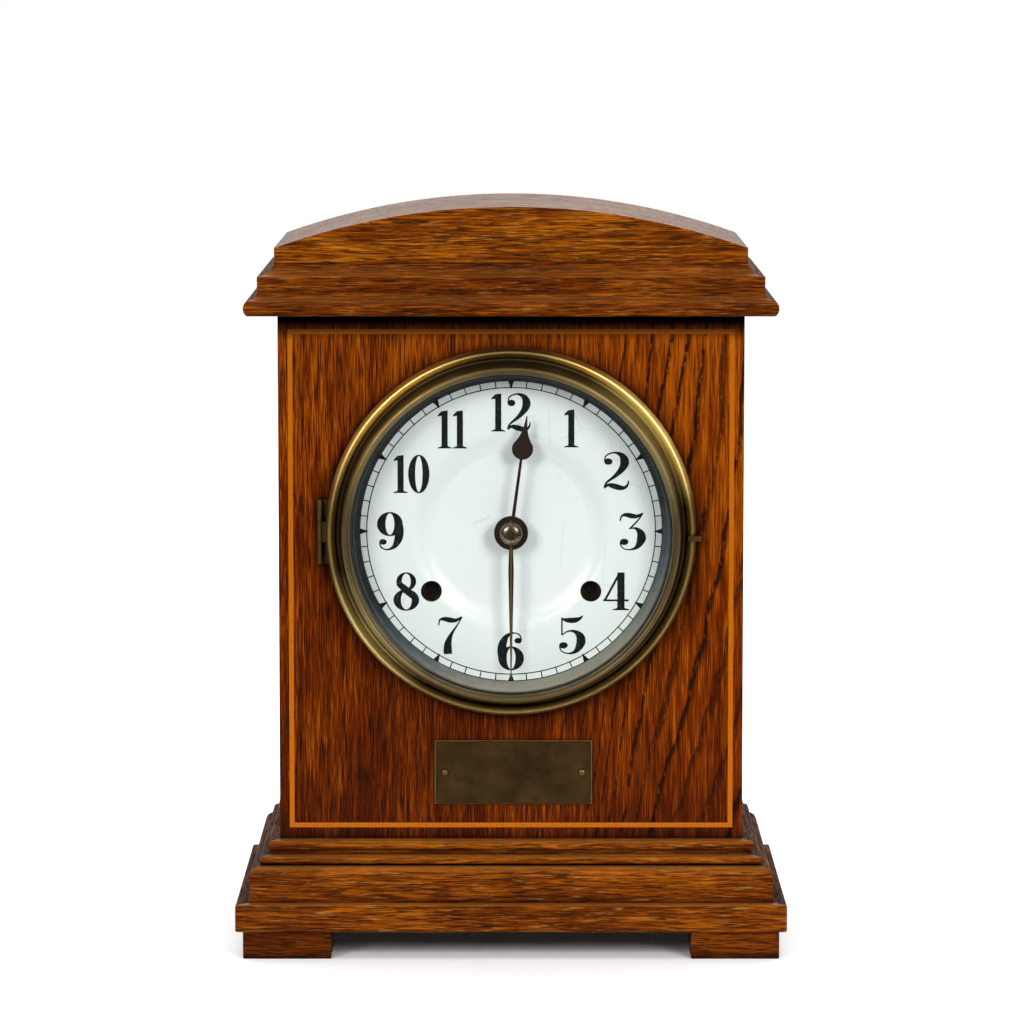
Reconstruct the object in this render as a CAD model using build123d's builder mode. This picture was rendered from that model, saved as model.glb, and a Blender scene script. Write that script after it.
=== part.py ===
"""Mantel clock: oak bracket case, hinged glazed bezel, enamel dial and an eight-day striking movement.

Millimetres. +Z is up, the dial faces -Y and +X is on the viewer's right. The origin is the middle of the
clock's footprint, at the height of the table.
"""
from build123d import *
from math import atan2, cos, degrees, hypot, pi, radians, sin, sqrt
import os

# ---- case ---------------------------------------------------------------------------------------------
depth = 140.0                  # plinth front to plinth back
body_half = 101.3              # half the width of the case body
plinth_out = 18.9              # how far the plinth stands out of the body, at the front and the sides
board = 8.0                    # thickness of the case boards
foot_height = 12.0
ledge_z = 24.0                 # top of the plinth's fascia
body_z = 50.0                  # top of the plinth mouldings, foot of the case body
cornice_z = 280.6              # underside of the cornice
pediment_z = 303.2             # top of the cornice, foot of the arched roof
roof_corner_z = 309.4
roof_top_z = 327.2
pediment_out = 1.3
pediment_board = 10.0

back_y = depth / 2
panel_y = plinth_out - depth / 2        # front face of the front panel
inner_y = panel_y + board               # back face of the front panel
inner_half = body_half - board
back_frame_y = 58.0
back_face_y = 66.0

# ---- trim ---------------------------------------------------------------------------------------------
inlay_width = 2.1
inlay_depth = 1.0
inlay_half = 96.0              # middle of the upright lines
inlay_low_z = 56.0
inlay_high_z = 273.0
plaque_width = 69.0
plaque_height = 28.4
plaque_x = 1.0
plaque_z = 79.5
plaque_pin_pitch = 60.0

# ---- dial and bezel (radii, and heights in front of the panel) ------------------------------------------
dial_z = 185.8
panel_hole_r = 69.6
dial_r = 68.0
dial_thick = 1.2
dial_sink = 1.8
sink_inner_r = 35.2
sink_outer_r = 43.0
wind_x = 34.8                  # winding arbors, from the dial's centre
wind_z = -26.4
wind_hole_r = 4.6
bezel_r = 80.6
bezel_base = 1.2
glass_height = 12.4
glass_thick = 2.0
glass_r = 71.0
hinge_x = -83.2
hinge_height = 1.7             # hinge axis, in front of the panel
hinge_barrel_r = 1.25
hinge_pin_r = 0.5
hinge_length = 28.0

# ---- movement -----------------------------------------------------------------------------------------
plate_thick = 1.8
front_plate_y = -34.2          # inner face of the front plate
back_plate_y = 0.0             # inner face of the back plate
plate_half = 62.0
plate_top = 54.0               # from the dial's centre
plate_foot = -62.0
pivot_r = 0.6
pivot_clear = 0.06
arbor_r = 0.9
winding_r = 2.6
suspension_z = 40.2            # pendulum axis, above the dial's centre
pendulum_length = 143.0
pendulum_y = 9.0
gong_y = 22.0
gong_z = 112.0

# tooth shape, as shares of the module and of the angular pitch
wheel_form = (0.9, 1.2, 0.07, 0.22)
pinion_form = (0.6, 1.25, 0.07, 0.16)

# teeth and modules of the trains
great_teeth, second_leaves, great_module = 72, 9, 0.75
second_teeth, centre_leaves, second_module = 60, 18, 0.55
centre_teeth, third_leaves, centre_module = 84, 7, 0.45
third_teeth, escape_leaves, third_module = 77, 7, 0.4
cannon_leaves, minute_teeth, cannon_module = 12, 36, 0.6
minute_leaves, hour_teeth = 10, 40
pin_teeth, fly_leaves, pin_module = 60, 8, 0.45
escape_teeth = 36
escape_r = 13.0

# hands
hour_height = 5.8
minute_height = 7.8
hour_turn = 7.7                # degrees past twelve
minute_turn = 180.0
hand_thick = 0.7

os.makedirs("parts", exist_ok=True)


# ---- helpers ------------------------------------------------------------------------------------------
def write_step(piece, name):
    """Label a finished piece and write its STEP file."""
    piece.part.label = name
    export_step(piece.part, f"parts/{name}.step")


def upright(y, x=0.0, z=0.0, turn=0.0):
    """Plane facing the viewer at depth y; turn is clockwise as the viewer sees it."""
    a = radians(turn)
    return Plane(origin=(x, y, z), x_dir=(cos(a), 0, -sin(a)), z_dir=(0, -1, 0))


def turning_plane(y, x=0.0, z=dial_z):
    """Half-section plane of a turned piece: local x is the radius, local y the height in front of y."""
    return Plane(origin=(x, y, z), x_dir=(1, 0, 0), z_dir=(0, 0, -1))


def turning_axis(x=0.0, z=dial_z):
    return Axis((x, 0, z), (0, 1, 0))


def rod(place, radius, front, back, mode=Mode.ADD):
    """Round bar along Y at an (x, z) place, added to or cut from the piece being built."""
    with BuildSketch(upright(back, place[0], place[1])) as face:
        Circle(radius)
    extrude(face.sketch, amount=back - front, mode=mode)


def slab(x_range, y_range, z_range, mode=Mode.ADD):
    """Square-edged board between the given limits."""
    size = [high - low for low, high in (x_range, y_range, z_range)]
    middle = [(high + low) / 2 for low, high in (x_range, y_range, z_range)]
    with Locations(tuple(middle)):
        Box(size[0], size[1], size[2], mode=mode)


def toothed(place, teeth, module, form, front, back, tooth_at):
    """Gear along Y at an (x, z) place, with a tooth centred in the direction tooth_at (degrees)."""
    addendum, dedendum, tip, root = form
    tip_r = module * (teeth / 2 + addendum)
    root_r = module * (teeth / 2 - dedendum)
    outline = []
    for count in range(teeth):
        for radius, share in ((root_r, -root), (tip_r, -tip), (tip_r, tip), (root_r, root)):
            angle = radians(tooth_at) + 2 * pi * (count + share) / teeth
            outline.append((radius * cos(angle), radius * sin(angle)))
    with BuildSketch(upright(back, place[0], place[1])) as face:
        with BuildLine():
            Polyline(*outline, close=True)
        make_face()
    extrude(face.sketch, amount=back - front)


def crossings(place, hub_r, rim_r, count, front, back):
    """Round windows that leave a wheel with spokes."""
    middle_r = (hub_r + rim_r) / 2
    with BuildSketch(upright(back, place[0], place[1])) as windows:
        with PolarLocations(middle_r, count):
            Circle((rim_r - hub_r) / 2 - 0.6)
    extrude(windows.sketch, amount=back - front, mode=Mode.SUBTRACT)


def along(start, angle, distance):
    """(x, z) point at a distance from start in a direction given in degrees."""
    return (start[0] + distance * cos(radians(angle)), start[1] + distance * sin(radians(angle)))


def bearing(start, end):
    """Direction from one (x, z) point to another, in degrees."""
    return degrees(atan2(end[1] - start[1], end[0] - start[0]))


def crossing_point(first, first_r, second, second_r, side):
    """Where two circles about (x, z) points meet, on one side of the line between them."""
    span = hypot(second[0] - first[0], second[1] - first[1])
    reach = (first_r ** 2 - second_r ** 2 + span ** 2) / (2 * span)
    rise = sqrt(first_r ** 2 - reach ** 2)
    base = bearing(first, second)
    return along(along(first, base, reach), base + 90 * side, rise)


def mesh_distance(wheel, pinion, module):
    return module * (wheel + pinion) / 2


# ---- where the arbors stand -----------------------------------------------------------------------------
centre = (0.0, dial_z)
time_arbor = (wind_x, dial_z + wind_z)
strike_arbor = (-wind_x, dial_z + wind_z)
pallet_arbor = (0.0, dial_z + suspension_z)
escape_arbor = (0.0, dial_z + 24.0)
second_arbor = crossing_point(
    centre, mesh_distance(second_teeth, centre_leaves, second_module),
    time_arbor, mesh_distance(great_teeth, second_leaves, great_module), -1)
third_arbor = crossing_point(
    centre, mesh_distance(centre_teeth, third_leaves, centre_module),
    escape_arbor, mesh_distance(third_teeth, escape_leaves, third_module), -1)
pin_arbor = along(strike_arbor, 65.0, mesh_distance(great_teeth, second_leaves, great_module))
fly_arbor = along(pin_arbor, 100.0, mesh_distance(pin_teeth, fly_leaves, pin_module))
minute_distance = mesh_distance(cannon_leaves, minute_teeth, cannon_module)
minute_arbor = along(centre, 135.0, minute_distance)
hour_module = 2 * minute_distance / (minute_leaves + hour_teeth)
hammer_arbor = (-58.0, 141.0)
pivoted = (time_arbor, strike_arbor, second_arbor, third_arbor, escape_arbor, pallet_arbor, pin_arbor, fly_arbor,
           hammer_arbor)
pan_screw_places = [along(centre, angle, 74.6) for angle in (45, 135, 225, 315)]
pillar_places = [(x, dial_z + z) for x in (-55.0, 55.0) for z in (-55.0, 47.0)]


# ---- case boards ----------------------------------------------------------------------------------------
with BuildPart() as front_panel:
    slab((-body_half, body_half), (panel_y, inner_y), (body_z, cornice_z))
    rod(centre, panel_hole_r, panel_y, inner_y, Mode.SUBTRACT)
    inlay_mid_z = (inlay_low_z + inlay_high_z) / 2
    inlay_rise = inlay_high_z - inlay_low_z
    with BuildSketch(upright(panel_y, 0, inlay_mid_z)):
        Rectangle(2 * inlay_half + inlay_width, inlay_rise + inlay_width)
        Rectangle(2 * inlay_half - inlay_width, inlay_rise - inlay_width, mode=Mode.SUBTRACT)
    extrude(amount=-inlay_depth, mode=Mode.SUBTRACT)
    for place in pillar_places:
        rod(place, 1.5, inner_y - 5.0, inner_y, Mode.SUBTRACT)
    for place in pan_screw_places:
        rod(place, 1.1, panel_y, panel_y + 6.0, Mode.SUBTRACT)
write_step(front_panel, "front_panel")

with BuildPart() as string_inlay:
    with BuildSketch(upright(panel_y, 0, inlay_mid_z)):
        Rectangle(2 * inlay_half + inlay_width, inlay_rise + inlay_width)
        Rectangle(2 * inlay_half - inlay_width, inlay_rise - inlay_width, mode=Mode.SUBTRACT)
    extrude(amount=-inlay_depth)
write_step(string_inlay, "string_inlay")

for side, name in ((-1, "left_side_panel"), (1, "right_side_panel")):
    with BuildPart() as side_panel:
        edges_x = sorted((side * inner_half, side * body_half))
        slab(edges_x, (inner_y, back_y), (body_z, cornice_z))
    write_step(side_panel, name)

with BuildPart() as base_board:
    slab((-inner_half, inner_half), (inner_y, back_y), (foot_height, ledge_z))
write_step(base_board, "base_board")

with BuildPart() as top_board:
    slab((-inner_half, inner_half), (inner_y, back_y), (cornice_z - board, cornice_z))
write_step(top_board, "top_board")

door_half = 70.0
door_low = 70.0
door_high = 256.0
door_gap = 0.4
with BuildPart() as back_frame:
    slab((-inner_half, -door_half), (back_frame_y, back_face_y), (ledge_z, cornice_z - board))
    slab((door_half, inner_half), (back_frame_y, back_face_y), (ledge_z, cornice_z - board))
    slab((-door_half, door_half), (back_frame_y, back_face_y), (ledge_z, door_low))
    slab((-door_half, door_half), (back_frame_y, back_face_y), (door_high, cornice_z - board))
    door_button_place = (-door_half - 7.0, 163.0)
    rod(door_button_place, 1.5, back_frame_y, back_face_y, Mode.SUBTRACT)
write_step(back_frame, "back_frame")


# ---- mouldings: a section, run along the front and both sides, and mitred at the corners ------------------
def plinth_section():
    """Plinth: square fascia, a thick rounded block and two beads. Local x is the projection."""
    with BuildSketch() as section:
        with BuildLine():
            Polyline((-board, foot_height), (plinth_out - 0.6, foot_height), (plinth_out, foot_height + 0.6),
                     (plinth_out, ledge_z - 1.0))
            RadiusArc((plinth_out, ledge_z - 1.0), (plinth_out - 1.0, ledge_z), -1.0)
            Polyline((plinth_out - 1.0, ledge_z), (13.3, ledge_z), (12.9, 34.5))
            Spline((12.9, 34.5), (11.6, 38.2), (8.4, 39.4), tangents=((-0.04, 1), (-1, 0.05)))
            Polyline((8.4, 39.4), (6.6, 39.4), (6.6, 40.0), (8.0, 40.0))
            ThreePointArc((8.0, 40.0), (8.9, 41.5), (7.4, 43.3))
            Polyline((7.4, 43.3), (3.8, 43.7), (3.6, 45.6), (4.4, 45.8))
            ThreePointArc((4.4, 45.8), (5.4, 47.6), (3.8, 49.6))
            Polyline((3.8, 49.6), (0.0, body_z), (-board, body_z), (-board, foot_height))
        make_face()
    return section.sketch


def cornice_section():
    """Cornice: a rounded nosing, a hollow, a flat band and a sloping hollow up to the roof."""
    with BuildSketch() as section:
        with BuildLine():
            Polyline((-board, cornice_z), (12.6, cornice_z))
            ThreePointArc((12.6, cornice_z), (14.2, 284.0), (12.4, 287.4))
            Polyline((12.4, 287.4), (11.6, 287.6))
            ThreePointArc((11.6, 287.6), (9.4, 288.4), (8.4, 290.4))
            Polyline((8.4, 290.4), (8.4, 297.2), (7.8, 297.6))
            ThreePointArc((7.8, 297.6), (4.0, 298.9), (pediment_out, 302.4))
            Polyline((pediment_out, 302.4), (pediment_out, pediment_z), (-board, pediment_z), (-board, cornice_z))
        make_face()
    return section.sketch


def run_moulding(section, side):
    """One mitred length: side 0 is the front, -1 the left and 1 the right."""
    if side == 0:
        plane = Plane(origin=(-body_half - 30, panel_y, 0), x_dir=(0, -1, 0), z_dir=(-1, 0, 0))
        reach = -2 * (body_half + 30)
    elif side == 1:
        plane = Plane(origin=(body_half, back_y, 0), x_dir=(1, 0, 0), z_dir=(0, -1, 0))
        reach = depth + 10
    else:
        plane = Plane(origin=(-body_half, back_y, 0), x_dir=(-1, 0, 0), z_dir=(0, 1, 0))
        reach = -(depth + 10)
    with BuildSketch(plane) as face:
        add(section)
    extrude(face.sketch, amount=reach)
    for corner in ((-1, 1) if side == 0 else (side,)):
        mitre = Plane(origin=(corner * body_half, panel_y, 0), z_dir=(corner, 1, 0))
        split(bisect_by=mitre, keep=Keep.BOTTOM if side == 0 else Keep.TOP)


for prefix, section in (("plinth", plinth_section()), ("cornice", cornice_section())):
    for side, place_name in ((0, "front"), (-1, "left"), (1, "right")):
        with BuildPart() as moulding:
            run_moulding(section, side)
        write_step(moulding, f"{prefix}_{place_name}")


# ---- roof -------------------------------------------------------------------------------------------------
roof_half = body_half + pediment_out
pediment_y = panel_y - pediment_out
for name, near, far in (("pediment_front", pediment_y, pediment_y + pediment_board),
                        ("pediment_back", back_face_y - pediment_board, back_face_y)):
    with BuildPart() as pediment:
        with BuildSketch(upright(far)):
            with BuildLine():
                Polyline((-roof_half, roof_corner_z), (-roof_half, pediment_z), (roof_half, pediment_z),
                         (roof_half, roof_corner_z))
                ThreePointArc((roof_half, roof_corner_z), (0, roof_top_z), (-roof_half, roof_corner_z))
            make_face()
        extrude(amount=far - near)
        arch_edges = pediment.edges().filter_by(GeomType.CIRCLE)
        chamfer(arch_edges, 0.5)
    write_step(pediment, name)

roof_thick = 5.0
with BuildPart() as roof_panel:
    with BuildSketch(upright(back_face_y - pediment_board)):
        with BuildLine():
            Polyline((-roof_half, roof_corner_z - roof_thick), (-roof_half, roof_corner_z))
            ThreePointArc((-roof_half, roof_corner_z), (0, roof_top_z), (roof_half, roof_corner_z))
            Polyline((roof_half, roof_corner_z), (roof_half, roof_corner_z - roof_thick))
            ThreePointArc((roof_half, roof_corner_z - roof_thick), (0, roof_top_z - roof_thick),
                          (-roof_half, roof_corner_z - roof_thick))
        make_face()
    extrude(amount=back_face_y - pediment_board - (pediment_y + pediment_board))
write_step(roof_panel, "roof_panel")

with BuildPart() as roof_board:
    slab((-roof_half, roof_half), (pediment_y + pediment_board, back_face_y - pediment_board),
         (pediment_z, roof_corner_z - roof_thick))
    slab((-inner_half, inner_half), (inner_y, back_y), (cornice_z, pediment_z))
write_step(roof_board, "roof_board")

# ---- feet and plaque ----------------------------------------------------------------------------------------
foot_outer = 117.0
foot_inner = 78.5
foot_long = 38.5
foot_front_y = -depth / 2 + 1.4
for name, near in (("front_feet", foot_front_y), ("back_feet", -foot_front_y - foot_long)):
    with BuildPart() as feet:
        for side in (-1, 1):
            slab(sorted((side * foot_inner, side * foot_outer)), (near, near + foot_long), (0, foot_height))
        fillet(feet.edges().filter_by(Axis.Z), 0.8)
        chamfer(feet.faces().sort_by(Axis.Z)[:2].edges(), 0.4)
    write_step(feet, name)

with BuildPart() as plaque:
    with BuildSketch(upright(panel_y, plaque_x, plaque_z)):
        Rectangle(plaque_width, plaque_height)
    extrude(amount=1.2)
    chamfer(plaque.faces().sort_by(Axis.Y)[0].edges(), 0.7)
    with BuildSketch(upright(panel_y - 1.2, plaque_x, plaque_z)):
        with GridLocations(plaque_pin_pitch, 1, 2, 1):
            Circle(0.9)
    extrude(amount=-1.2, mode=Mode.SUBTRACT)
write_step(plaque, "plaque")

with BuildPart() as plaque_pins:
    for side in (-1, 1):
        pin_x = plaque_x + side * plaque_pin_pitch / 2
        with BuildSketch(turning_plane(panel_y, pin_x, plaque_z)):
            with BuildLine():
                Polyline((0, 0), (0.9, 0), (0.9, 1.2), (1.5, 1.2))
                Spline((1.5, 1.2), (0, 2.2), tangents=((0, 1), (-1, 0)))
                Line((0, 2.2), (0, 0))
            make_face()
        revolve(axis=turning_axis(pin_x, plaque_z))
write_step(plaque_pins, "plaque_pins")

# ---- dial, sight ring and the fixed half of the bezel hinge ---------------------------------------------------
with BuildPart() as dial:
    with BuildSketch(turning_plane(panel_y)):
        with BuildLine():
            Polyline((4.6, -dial_sink), (sink_inner_r - 1.2, -dial_sink))
            Spline((sink_inner_r - 1.2, -dial_sink), ((sink_inner_r + sink_outer_r) / 2, -dial_sink / 2),
                   (sink_outer_r, 0), tangents=((1, 0), (1, 0)))
            Polyline((sink_outer_r, 0), (dial_r - 0.6, 0), (dial_r, -0.4), (dial_r, -dial_thick),
                     (sink_outer_r, -dial_thick), (sink_inner_r - 1.2, -dial_sink - dial_thick),
                     (4.6, -dial_sink - dial_thick), (4.6, -dial_sink))
        make_face()
    revolve(axis=turning_axis())
    for place in (time_arbor, strike_arbor):
        rod(place, wind_hole_r, panel_y, panel_y + 6, Mode.SUBTRACT)
write_step(dial, "dial")

with BuildPart() as sight_ring:
    with BuildSketch(turning_plane(panel_y)):
        with BuildLine():
            Polyline((66.0, 0.0), (66.3, 0.9), (69.0, 10.2), (69.4, 10.5), (69.8, 10.2), (67.4, 0.9), (68.6, 0.9),
                     (68.6, 0.1), (68.2, 0.0), close=True)
        make_face()
    revolve(axis=turning_axis())
write_step(sight_ring, "sight_ring")

knuckle = hinge_length / 3


def hinge_knuckle(low, high, bore_r):
    """One knuckle of the bezel hinge, between two heights from the dial's centre."""
    with BuildSketch(Plane.XY.offset(dial_z + low)) as ring:
        with Locations((hinge_x, panel_y - hinge_height)):
            Circle(hinge_barrel_r)
            if bore_r:
                Circle(bore_r, mode=Mode.SUBTRACT)
    extrude(ring.sketch, amount=high - low)


with BuildPart() as dial_pan:
    with BuildSketch(turning_plane(panel_y)):
        with BuildLine():
            Polyline((80.0, 0.0), (80.0, 0.7), (79.8, 0.9), (68.8, 0.9), (68.8, -1.3), (61.0, -1.3), (61.0, -2.2),
                     (69.3, -2.2), (69.3, 0.0), close=True)
        make_face()
    revolve(axis=turning_axis())
    for low in (-hinge_length / 2, hinge_length / 2 - knuckle + 0.15):
        high = low + knuckle - 0.15
        hinge_knuckle(low, high, 0)
        slab((hinge_x - 0.2, -77.0), (panel_y - 0.9, panel_y), (dial_z + low, dial_z + high))
    with BuildSketch(Plane.XY.offset(dial_z - knuckle / 2 - 0.5)):
        with Locations((hinge_x, panel_y - hinge_height)):
            Circle(hinge_pin_r)
    extrude(amount=knuckle + 1.0)
    for place in pan_screw_places:
        rod(place, 1.1, panel_y - 0.9, panel_y, Mode.SUBTRACT)
write_step(dial_pan, "dial_pan")

with BuildPart() as pan_screws:
    for place in pan_screw_places:
        rod(place, 1.1, panel_y - 0.9, panel_y + 6.0)
        rod(place, 1.9, panel_y - 1.9, panel_y - 0.9)
write_step(pan_screws, "pan_screws")

# ---- bezel --------------------------------------------------------------------------------------------------
with BuildPart() as bezel_ring:
    with BuildSketch(turning_plane(panel_y)):
        with BuildLine():
            Polyline((bezel_r - 0.9, bezel_base), (bezel_r - 0.2, bezel_base + 0.2), (bezel_r, 2.2))
            Spline((bezel_r, 2.2), (80.2, 5.2), (78.5, 7.4), (76.8, 6.4), (76.0, 4.4),
                   tangents=((0, 1), (-0.15, -1)))
            Polyline((76.0, 4.4), (75.1, 4.3))
            Spline((75.1, 4.3), (73.9, 7.2), (73.1, 11.0), (72.9, 14.6), tangents=((-0.55, 1), (0, 1)))
            Polyline((72.9, 14.6), (73.3, 15.2))
            Spline((73.3, 15.2), (73.0, 17.6), (71.6, 18.6), (70.4, 17.6), (70.0, 16.2),
                   tangents=((0.1, 1), (-0.1, -1)))
            Polyline((70.0, 16.2), (69.8, glass_height + glass_thick), (glass_r + 0.1, glass_height + glass_thick),
                     (glass_r + 0.3, 10.6), (glass_r + 0.3, bezel_base), (72.3, bezel_base), (72.2, 8.0),
                     (73.8, 3.3), (76.6, 3.2), (78.3, 5.6), (79.5, 3.6), (79.5, bezel_base),
                     (bezel_r - 0.9, bezel_base))
        make_face()
    revolve(axis=turning_axis())
    hinge_knuckle(-knuckle / 2 + 0.15, knuckle / 2 - 0.15, hinge_pin_r + 0.06)
    slab((hinge_x + 0.9, -79.9), (panel_y - 2.4, panel_y - 1.4), (dial_z - knuckle / 2 + 0.15,
                                                                dial_z + knuckle / 2 - 0.15))
write_step(bezel_ring, "bezel_ring")

with BuildPart() as bezel_glass:
    with BuildSketch(turning_plane(panel_y)):
        Polygon((0, glass_height), (glass_r, glass_height), (glass_r, glass_height + 1.4),
                (glass_r - 0.6, glass_height + glass_thick), (0, glass_height + glass_thick), align=None)
    revolve(axis=turning_axis())
write_step(bezel_glass, "bezel_glass")

with BuildPart() as glass_retainer:
    with BuildSketch(turning_plane(panel_y)):
        Polygon((69.5, 11.0), (glass_r + 0.25, 11.0), (glass_r + 0.1, glass_height), (69.5, glass_height),
                align=None)
    revolve(axis=turning_axis())
write_step(glass_retainer, "glass_retainer")

catch_reach = 82.7
catch_height = 8.5
catch_span = (dial_z - 3.4, dial_z - 1.2)
with BuildPart() as bezel_catch:
    slab((bezel_r, catch_reach), (panel_y - catch_height, panel_y - 1.6), catch_span)
    slab((76.6, bezel_r), (panel_y - catch_height, panel_y - 7.45), catch_span)
    fillet(bezel_catch.edges().filter_by(Axis.Z).sort_by(Axis.Y)[:2], 0.4)
write_step(bezel_catch, "bezel_catch")

# ---- movement frame -------------------------------------------------------------------------------------------
post_r = 4.0
for name, near, far in (("movement_front_plate", front_plate_y - plate_thick, front_plate_y),
                        ("movement_back_plate", back_plate_y, back_plate_y + plate_thick)):
    with BuildPart() as plate:
        slab((-plate_half, plate_half), (near, far), (dial_z + plate_foot, dial_z + plate_top))
        fillet(plate.edges().filter_by(Axis.Y), 6.0)
        for place in pivoted[2:]:
            rod(place, pivot_r + pivot_clear, near, far, Mode.SUBTRACT)
        for place in pillar_places:
            rod(place, 1.5, near, far, Mode.SUBTRACT)
        for place in (time_arbor, strike_arbor):
            rod(place, winding_r + pivot_clear, near, far, Mode.SUBTRACT)
        rod(centre, 2.0 + pivot_clear, near, far, Mode.SUBTRACT)
        if name == "movement_front_plate":
            rod(minute_arbor, 1.0, front_plate_y - plate_thick - 9.6, near)
        else:
            rod(pallet_arbor, 2.4, near, far, Mode.SUBTRACT)
            slab((-9, 9), (far, far + 1.5), (pallet_arbor[1] + 6, pallet_arbor[1] + 12))
            slab((-5, 5), (far + 1.5, pendulum_y + 2.5), (pallet_arbor[1] + 6, pallet_arbor[1] + 10))
            rod(hammer_arbor, 1.3 + pivot_clear, near, far, Mode.SUBTRACT)
    write_step(plate, name)

with BuildPart() as plate_pillars:
    for place in pillar_places:
        rod(place, 3.4, front_plate_y, back_plate_y)
        rod(place, 1.5, front_plate_y - plate_thick, front_plate_y)
        rod(place, 1.5, back_plate_y, back_plate_y + plate_thick)
        rod(place, 2.4, back_plate_y + plate_thick, back_plate_y + plate_thick + 1.0)
write_step(plate_pillars, "plate_pillars")

with BuildPart() as movement_posts:
    for place in pillar_places:
        rod(place, post_r, inner_y, front_plate_y - plate_thick)
        rod(place, 1.5, inner_y - 5.0, inner_y)
write_step(movement_posts, "movement_posts")


# ---- spirals: springs and the gong ------------------------------------------------------------------------------
def spiral(y_range, place, inner_r, pitch, half_turns, width):
    """Flat spiral strip made of half circles about two alternating centres."""
    with BuildSketch(upright(y_range[1], place[0], place[1])) as strip:
        with BuildLine():
            for edge in (-0.5, 0.5):
                for count in range(half_turns):
                    radius = inner_r + count * pitch / 2 + edge * width
                    shift = pitch / 2 if count % 2 else 0.0
                    CenterArc((shift, 0), radius, 180 * (count % 2), 180)
            Line((inner_r - width / 2, 0), (inner_r + width / 2, 0))
            last = half_turns - 1
            end_r = inner_r + last * pitch / 2
            end_shift = pitch / 2 if last % 2 else 0.0
            sign = 1 if last % 2 else -1
            Line((end_shift + sign * (end_r - width / 2), 0), (end_shift + sign * (end_r + width / 2), 0))
        make_face()
    extrude(strip.sketch, amount=y_range[1] - y_range[0])


with BuildPart() as mainsprings:
    for place in (time_arbor, strike_arbor):
        spiral((-26.0, -6.0), place, 4.2, 1.5, 18, 0.5)
write_step(mainsprings, "mainsprings")

with BuildPart() as gong_coil:
    spiral((gong_y - 1.6, gong_y + 1.6), (0, gong_z), 12.0, 7.0, 8, 3.0)
write_step(gong_coil, "gong_coil")

with BuildPart() as gong_block:
    slab((-14, 14), (gong_y - 7, gong_y + 7), (ledge_z, ledge_z + 12))
    slab((-5, 5), (gong_y + 1.6, gong_y + 6), (ledge_z + 12, gong_z - 4))
    slab((-16, 16), (gong_y + 1.6, gong_y + 6), (gong_z - 16, gong_z - 9))
write_step(gong_block, "gong_block")


# ---- winding arbors and trains ------------------------------------------------------------------------------------
def winding_arbor(place):
    """Arbor with a squared end behind the dial."""
    rod(place, winding_r, front_plate_y - plate_thick - 2.0, back_plate_y + plate_thick)
    with BuildSketch(upright(front_plate_y - plate_thick - 2.0, place[0], place[1])) as square:
        Rectangle(3.6, 3.6)
    extrude(square.sketch, amount=8.0)


great_front, great_back = -31.4, -29.4
for prefix, place, mate in (("time", time_arbor, second_arbor), ("strike", strike_arbor, pin_arbor)):
    with BuildPart() as arbor:
        winding_arbor(place)
    write_step(arbor, f"{prefix}_winding_arbor")
    with BuildPart() as great_wheel:
        toothed(place, great_teeth, great_module, wheel_form, great_front, great_back, bearing(place, mate))
        rod(place, 6.0, great_back, great_back + 1.6)
        crossings(place, 7.0, 24.0, 5, great_front, great_back)
        rod(place, winding_r + pivot_clear, great_front, great_back + 2, Mode.SUBTRACT)
    write_step(great_wheel, f"{prefix}_great_wheel")


def train_arbor(place, radius=arbor_r):
    """Arbor with a thinner pivot at each end."""
    rod(place, radius, front_plate_y + 0.4, back_plate_y - 0.4)
    rod(place, pivot_r, front_plate_y - plate_thick, back_plate_y + plate_thick)


def leaf_angle(place, mate, leaves):
    """Direction for a leaf, so that a gap faces the wheel it meshes with."""
    return bearing(place, mate) + 180.0 / leaves


with BuildPart() as time_second_wheel:
    train_arbor(second_arbor)
    toothed(second_arbor, second_leaves, great_module, pinion_form, -32.4, -28.8,
            leaf_angle(second_arbor, time_arbor, second_leaves))
    toothed(second_arbor, second_teeth, second_module, wheel_form, -27.9, -26.6, bearing(second_arbor, centre))
write_step(time_second_wheel, "time_second_wheel")

with BuildPart() as centre_wheel:
    rod(centre, 2.0, front_plate_y - plate_thick - 1.4, back_plate_y + plate_thick)
    rod(centre, 1.6, panel_y - minute_height - 1.8, front_plate_y - plate_thick - 1.4)
    toothed(centre, centre_leaves, second_module, pinion_form, -28.6, -25.8,
            leaf_angle(centre, second_arbor, centre_leaves))
    toothed(centre, centre_teeth, centre_module, wheel_form, -13.0, -11.6, bearing(centre, third_arbor))
    crossings(centre, 5.0, 16.5, 5, -13.0, -11.6)
write_step(centre_wheel, "centre_wheel")

with BuildPart() as third_wheel:
    train_arbor(third_arbor)
    toothed(third_arbor, third_leaves, centre_module, pinion_form, -14.2, -10.4,
            leaf_angle(third_arbor, centre, third_leaves))
    toothed(third_arbor, third_teeth, third_module, wheel_form, -19.0, -17.8, bearing(third_arbor, escape_arbor))
    crossings(third_arbor, 4.0, 13.5, 5, -19.0, -17.8)
write_step(third_wheel, "third_wheel")

with BuildPart() as escape_wheel:
    train_arbor(escape_arbor, 0.85)
    toothed(escape_arbor, escape_leaves, third_module, pinion_form, -20.0, -16.8,
            leaf_angle(escape_arbor, third_arbor, escape_leaves))
    with BuildSketch(upright(-7.0, escape_arbor[0], escape_arbor[1])):
        Circle(escape_r - 2.2)
        with PolarLocations(escape_r - 1.3, escape_teeth):
            Polygon((-1.3, -0.75), (1.3, -0.1), (1.3, 0.1), (-1.3, 0.4), align=None)
    extrude(amount=1.2)
    crossings(escape_arbor, 3.0, 10.2, 5, -8.2, -7.0)
write_step(escape_wheel, "escape_wheel")

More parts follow.
